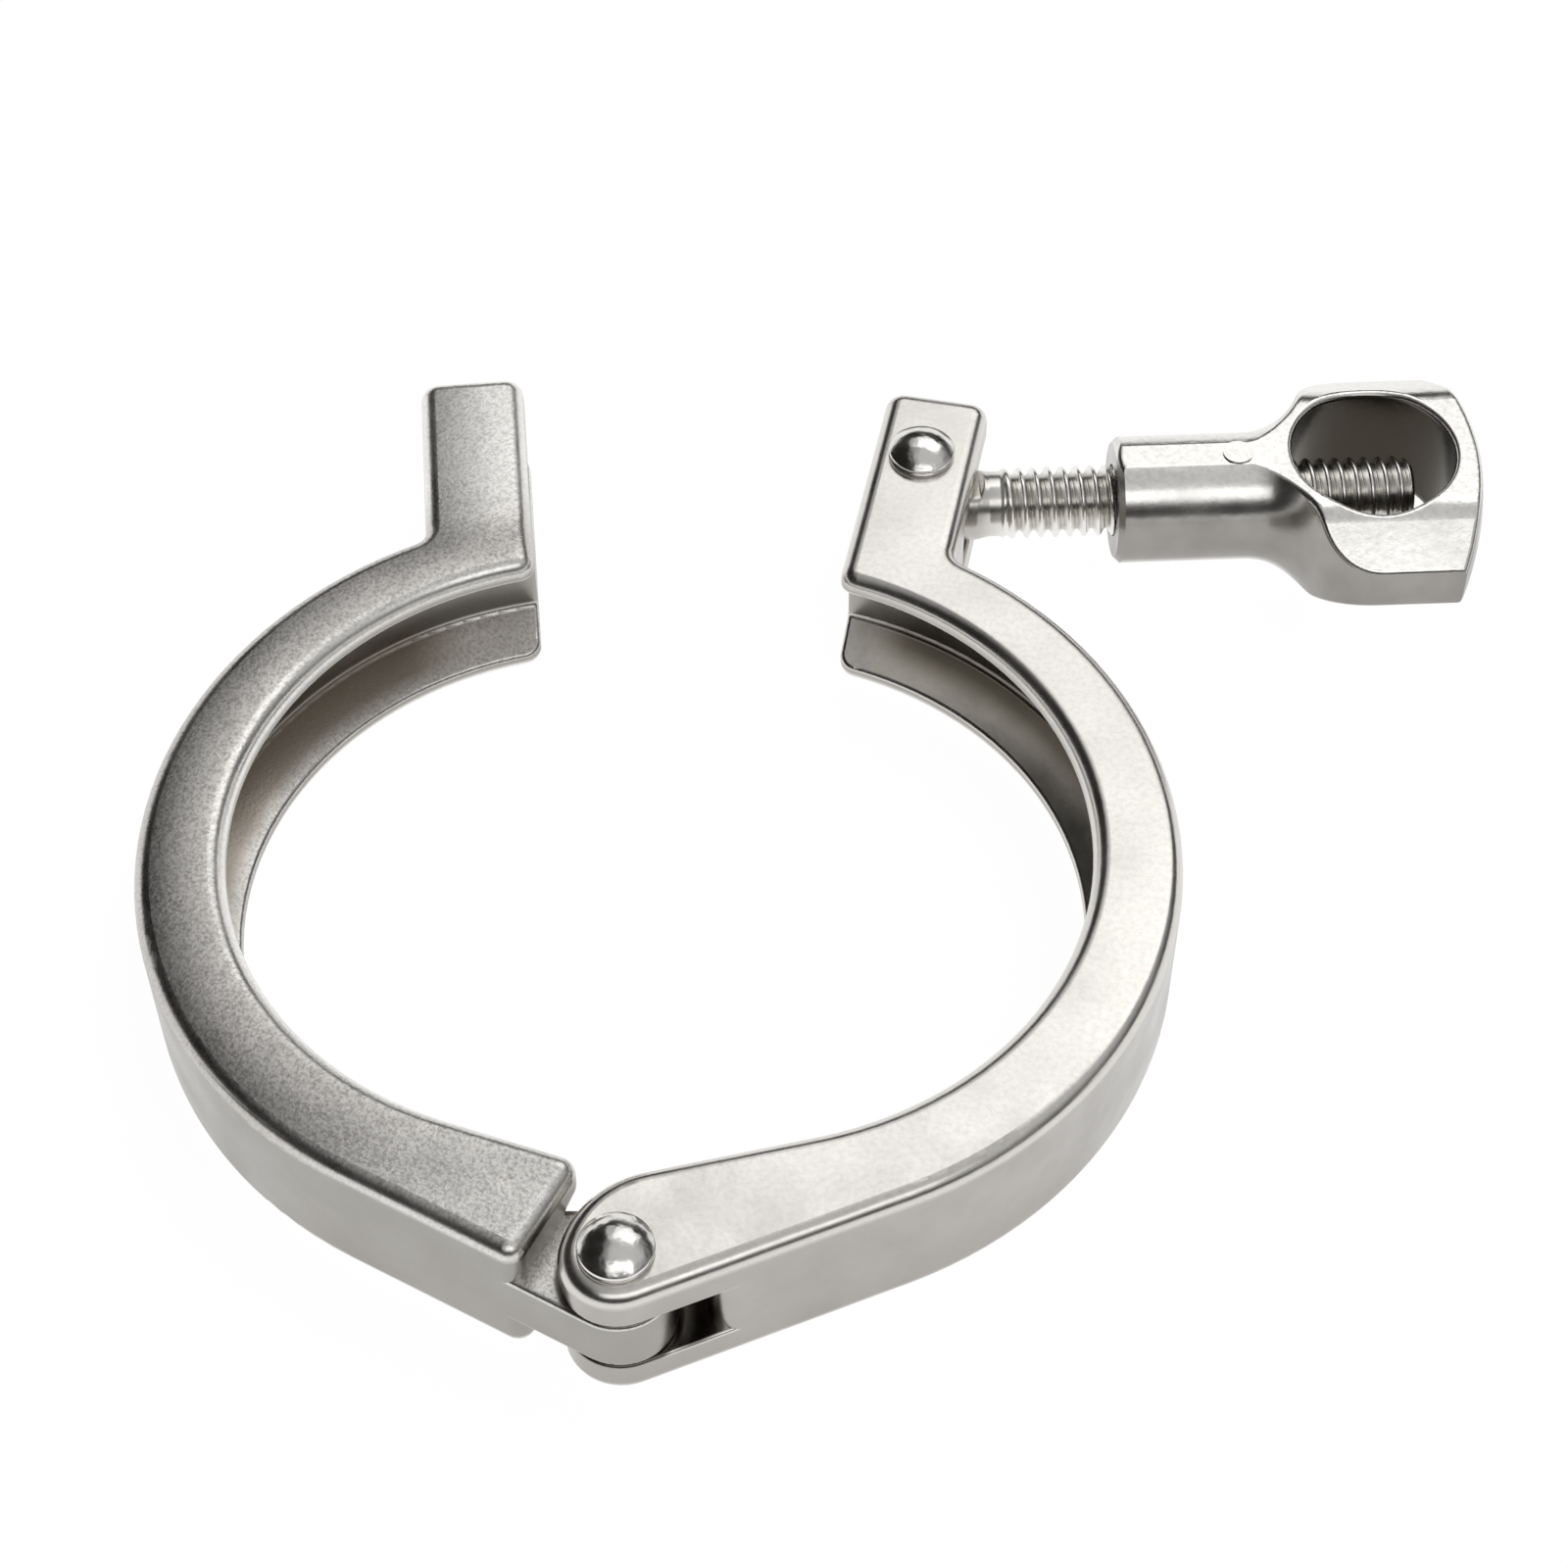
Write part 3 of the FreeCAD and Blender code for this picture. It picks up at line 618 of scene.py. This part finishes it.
def thread_points(sizes, columns=56, rows_per_pitch=14):
    """The shank as radius over length and angle.

    The radius is the crest's less the depth times a rounded V of the distance to the nearest
    crest. The crests wind round once per pitch. The depth grows from nothing at the neck, and the
    radius is held under the neck's and the tip chamfer's. Towards the pin the radius flares out to
    the eye's, and the height is held to the eye's flat faces.
    """
    start = sizes.hole_radius + SHANK_PAST_HOLE
    count = int((sizes.length - start) / sizes.pitch * rows_per_pitch)
    along = np.linspace(start, sizes.length, count)[:, None]
    angle = np.linspace(0, 2 * math.pi, columns, endpoint=False)[None, :]
    turns = along / sizes.pitch - angle / (2 * math.pi)
    off_crest = 2 * np.abs(turns - np.round(turns))
    flank = np.clip((off_crest - CREST_FLAT) / FLANK, 0, 1)
    rounded = flank * flank * (3 - 2 * flank)
    groove = (rounded + flank) / 2
    run_in = np.clip((along - sizes.neck_end) / sizes.pitch, 0, 1)
    radius = sizes.crest_radius - sizes.depth * groove * run_in
    flare = (sizes.eye_radius - sizes.neck_radius) * np.clip(1 - along / sizes.eye_flare, 0, None)
    neck_limit = sizes.neck_radius + flare + np.clip(along - sizes.neck_end, 0, None) * RUN_OUT
    tip_limit = sizes.crest_radius - sizes.chamfer + (sizes.length - along)
    radius = np.minimum(radius, np.minimum(neck_limit, tip_limit))
    half_flat = sizes.eye_thickness / 2 + np.clip(along - sizes.neck_start, 0, None)
    up = np.clip(radius * np.cos(angle), -half_flat, half_flat)
    return along_bolt(along + 0 * angle, -radius * np.sin(angle), up)


def eye_points(sizes, columns=72):
    """The eye as a rounded rectangle carried round the pin.

    Each corner of the rectangle is a quarter circle, and the rectangle runs from the hole to the
    eye's outside and over the bolt's full thickness. It turns clockwise, seen from above.
    """
    half_thick = sizes.eye_thickness / 2
    quarter = np.linspace(0, math.pi / 2, 5)
    centres = (
        (sizes.eye_radius - EYE_CORNER, half_thick - EYE_CORNER, 0),
        (sizes.hole_radius + EYE_CORNER, half_thick - EYE_CORNER, 1),
        (sizes.hole_radius + EYE_CORNER, EYE_CORNER - half_thick, 2),
        (sizes.eye_radius - EYE_CORNER, EYE_CORNER - half_thick, 3),
    )
    out = np.concatenate([r + EYE_CORNER * np.cos(quarter + k * math.pi / 2) for r, _, k in centres])
    up = np.concatenate([z + EYE_CORNER * np.sin(quarter + k * math.pi / 2) for _, z, k in centres])
    turn = np.linspace(2 * math.pi, 0, columns, endpoint=False)[:, None]
    return along_bolt(out * np.cos(turn), out * np.sin(turn), up + 0 * turn)


class CLAMP_OT_dress_halves(bpy.types.Operator):
    """Gives the two cast halves their finishes."""

    bl_idname = "clamp.dress_halves"
    bl_label = "Cast halves"

    def execute(self, context):
        colours = context.scene.clamp_colours
        # Investment-cast 304 steel, tumbled bright: a smooth skin with faint orange peel, about
        # 0.5 mm across, that blurs the lights a little
        bright = CastSkin(
            top=colours.bright_cast, grain=colours.bright_grain, side=colours.bright_side_shade,
            hollow_shade=colours.bright_groove_shade, side_slope=0.35, grain_size=0.5 * MM, grain_share=0.3,
            grain_height=0.004 * MM, smooth=0.2, rough=0.3)
        # Tumbling brightens it all over, so its lug and rim get wear but no painted highlight
        right = HalfWearAndPaintedLight(
            axis=Vector((0, 0, 0)), turned_deg=0.0, wear_and_highlight=colours.bright_cast, shade_from=31.8 * MM,
            less_shade_to=3.5 * MM, crown=0.12 * MM, crown_end=10.0 * MM, end_shade=0.9)
        # The same casting left as blasted: sandy and grey, with grains that the eye can pick out.
        # Blasting grit leaves pits of about 0.1 mm, too fine to show, so they are drawn 0.3 mm wide
        grey = CastSkin(
            top=colours.grey_cast, grain=colours.grey_grain, side=colours.grey_side_shade,
            hollow_shade=colours.grey_groove_shade, side_slope=0.35, grain_size=0.3 * MM, grain_share=0.6,
            grain_height=0.02 * MM, smooth=0.24, rough=0.34)
        pin = Vector(HINGE_PIN)
        left = HalfWearAndPaintedLight(
            axis=pin - Matrix.Rotation(math.radians(OPEN_DEG), 3, "Z") @ pin, turned_deg=OPEN_DEG,
            wear_and_highlight=colours.grey_highlight, shade_from=30.2 * MM, less_shade_to=9.0 * MM, crown=0.3 * MM,
            crown_end=40.0 * MM, end_shade=0.0)
        dress("clevis_half", cast_steel("Tumbled cast stainless", bright, half=right))
        dress("tongue_half", cast_steel("Blasted cast stainless", grey, half=left))
        return {"FINISHED"}


class CLAMP_OT_dress_rivets(bpy.types.Operator):
    """Gives the two rivets their polish."""

    bl_idname = "clamp.dress_rivets"
    bl_label = "Rivets"

    def execute(self, context):
        # Upset and polished 304 steel: the eye sees the studio's lights in it, broken up by dents
        polish = polished_steel("Polished stainless", context.scene.clamp_colours.polish)
        dress("hinge_rivet", polish)
        dress("bolt_rivet", polish)
        return {"FINISHED"}


class CLAMP_OT_dress_nut(bpy.types.Operator):
    """Gives the wing nut its tumbled cast finish."""

    bl_idname = "clamp.dress_nut"
    bl_label = "Wing nut"

    def execute(self, context):
        colours = context.scene.clamp_colours
        # The same casting, tumbled longer: bright and smooth, with orange peel about 0.6 mm across,
        # and painted shade on the wall of its window
        skin = CastSkin(
            top=colours.nut_cast, grain=colours.bright_grain, side=colours.nut_side_shade,
            hollow_shade=colours.window, side_slope=0.7, grain_size=0.6 * MM, grain_share=0.35,
            grain_height=0.02 * MM, smooth=0.18, rough=0.28)
        window = along_bolt(WINDOW_AT, 0.0, 0.0)
        dress("wing_nut", cast_steel("Tumbled cast nut", skin, window=window))
        return {"FINISHED"}


class CLAMP_OT_roll_bolt(bpy.types.Operator):
    """Makes the swing bolt with its eye, neck and rolled thread."""

    bl_idname = "clamp.roll_bolt"
    bl_label = "Swing bolt"

    def execute(self, context):
        sizes = context.scene.clamp_bolt
        colours = context.scene.clamp_colours
        # Rolled 304 steel: hard, bright crests that glint, painted shade in the roots and painted
        # shadow on the neck
        steel = rolled_steel("Rolled stainless thread", colours.thread, colours.thread_shade)
        shank = surface_mesh("bolt_shank", thread_points(sizes))
        eye = surface_mesh("bolt_eye", eye_points(sizes), closed_rows=True)
        for piece in (shank, eye):
            piece.data.materials.append(steel)
            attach(piece, "bolt")
            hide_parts("swing_bolt")
        return {"FINISHED"}


def add_camera(lens):
    """The camera where the photograph's stood, with its focal length."""
    camera = bpy.data.objects.new("camera", bpy.data.cameras.new("camera"))
    camera.data.lens = lens
    camera.data.sensor_width = SENSOR_WIDTH
    bpy.context.scene.collection.objects.link(camera)
    look = Vector(CAMERA_LOOK).normalized()
    turn = look.to_track_quat("-Z", "Y").to_matrix() @ Matrix.Rotation(CAMERA_ROLL, 3, "Z")
    camera.matrix_world = Matrix.Translation(Vector(CAMERA_AT)) @ turn.to_4x4()
    bpy.context.scene.camera = camera


def add_softbox(name, power, place, aim, width, height):
    """A soft rectangular light that faces a point."""
    light = bpy.data.lights.new(name, "AREA")
    light.shape = "RECTANGLE"
    light.size = width
    light.size_y = height
    light.energy = power
    lamp = bpy.data.objects.new(name, light)
    bpy.context.scene.collection.objects.link(lamp)
    direction = Vector(aim) - Vector(place)
    turn = direction.to_track_quat("-Z", "Y").to_matrix().to_4x4()
    lamp.matrix_world = Matrix.Translation(Vector(place)) @ turn


def seen_directly(tree):
    """1 for rays that show the background itself, to the camera or in metal, and 0 for others."""
    path = add_node(tree, "LightPath").outputs
    seen = add_node(tree, "Math", path["Is Camera Ray"], path["Is Glossy Ray"], operation="MAXIMUM")
    return add_node(tree, "Math", seen, path["Is Transmission Ray"], operation="MAXIMUM")


def table_material():
    """White acrylic table that shows nearly white by itself, and keeps a soft shadow."""
    material, tree = new_material("White acrylic table")
    node = partial(add_node, tree)
    matt = node("BsdfDiffuse", linear(TABLE_MATT))
    glow = node("Emission", WHITE, TABLE_GLOW)
    share = node("Math", seen_directly(tree), TABLE_GLOW_SHARE, operation="MULTIPLY")
    node("OutputMaterial", node("MixShader", share, matt, glow))
    return material


def light_room(level):
    """The room: a white backdrop round the table, and above it a dark wall that lightens to the right.

    The camera and the metal see the backdrop white. It lights nothing.
    """
    world = bpy.data.worlds.new("Studio room")
    bpy.context.scene.world = world
    world.use_nodes = True
    tree = world.node_tree
    tree.nodes.clear()
    node = partial(add_node, tree)
    direction = node("TexCoord").outputs["Generated"]
    nearness = node("VectorMath", direction, TOWARDS_LIGHT, operation="DOT_PRODUCT")
    lighter = node("MapRange", nearness, *LIGHTENS)
    shades = {FACTOR: lighter, FIRST: linear(DARK_WALL), SECOND: linear(LIGHT_WALL)}
    dim = node("Background", node("Mix", named=shades, data_type="RGBA"), level)
    white = node("Background", WHITE, 1.0)
    height = node("SeparateXYZ", direction).outputs["Z"]
    backdrop = node("MapRange", height, *BACKDROP_TOP, seen_directly(tree), 0.0)
    camera_ray = node("LightPath").outputs["Is Camera Ray"]
    shown = node("Math", camera_ray, backdrop, operation="MAXIMUM")
    node("OutputWorld", node("MixShader", shown, dim, white))


class CLAMP_OT_set_stage(bpy.types.Operator):
    """Lays the white table, sets the lights and places the camera."""

    bl_idname = "clamp.set_stage"
    bl_label = "Table, light and camera"

    def execute(self, context):
        studio = context.scene.clamp_studio
        corners = np.array(((-1, -1), (1, -1), (1, 1), (-1, 1))) * TABLE_REACH
        table_top = np.full(4, CAD_BOX[0].z)
        mesh = bpy.data.meshes.new("table")
        mesh.from_pydata(np.column_stack((corners, table_top)).tolist(), [], [(0, 1, 2, 3)])
        mesh.materials.append(table_material())
        table = bpy.data.objects.new("table", mesh)
        context.scene.collection.objects.link(table)
        add_softbox("key_softbox", studio.key_level, *KEY_BOX)
        add_softbox("fill_softbox", studio.fill_level, *FILL_BOX)
        add_softbox("front_softbox", studio.front_level, *FRONT_BOX)
        light_room(studio.sky_level)
        add_camera(studio.lens)
        context.scene.view_settings.view_transform = "Standard"
        return {"FINISHED"}


class CLAMP_PT_looks(bpy.types.Panel):
    """Lists the clamp's sizes, colours and steps."""

    bl_label = "Tube clamp"
    bl_idname = "CLAMP_PT_looks"
    bl_space_type = "VIEW_3D"
    bl_region_type = "UI"
    bl_category = "Clamp"

    def draw(self, context):
        for group in SETTINGS:
            settings = getattr(context.scene, group)
            for name in settings.bl_rna.properties.keys():
                if name not in ("rna_type", "name"):
                    self.layout.prop(settings, name)
        for step in STEPS:
            self.layout.operator(step.bl_idname)


SETTINGS = {
    "clamp_bolt": BoltSizes,
    "clamp_colours": FinishColours,
    "clamp_studio": StudioSettings,
}
STEPS = (CLAMP_OT_dress_halves, CLAMP_OT_dress_rivets, CLAMP_OT_dress_nut, CLAMP_OT_roll_bolt,
         CLAMP_OT_set_stage)
CLASSES = (*SETTINGS.values(), *STEPS, CLAMP_PT_looks)


def register():
    """Registers the classes and keeps the settings on the scene."""
    for cls in CLASSES:
        bpy.utils.register_class(cls)
    for name, group in SETTINGS.items():
        setattr(bpy.types.Scene, name, bpy.props.PointerProperty(type=group))


def unregister():
    """Takes the settings and the classes away again."""
    for name in SETTINGS:
        delattr(bpy.types.Scene, name)
    for cls in reversed(CLASSES):
        bpy.utils.unregister_class(cls)


def main():
    """Dresses the clamp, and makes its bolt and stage."""
    register()
    bpy.ops.clamp.dress_halves()
    bpy.ops.clamp.dress_rivets()
    bpy.ops.clamp.dress_nut()
    bpy.ops.clamp.roll_bolt()
    bpy.ops.clamp.set_stage()


if __name__ == "__main__":
    main()
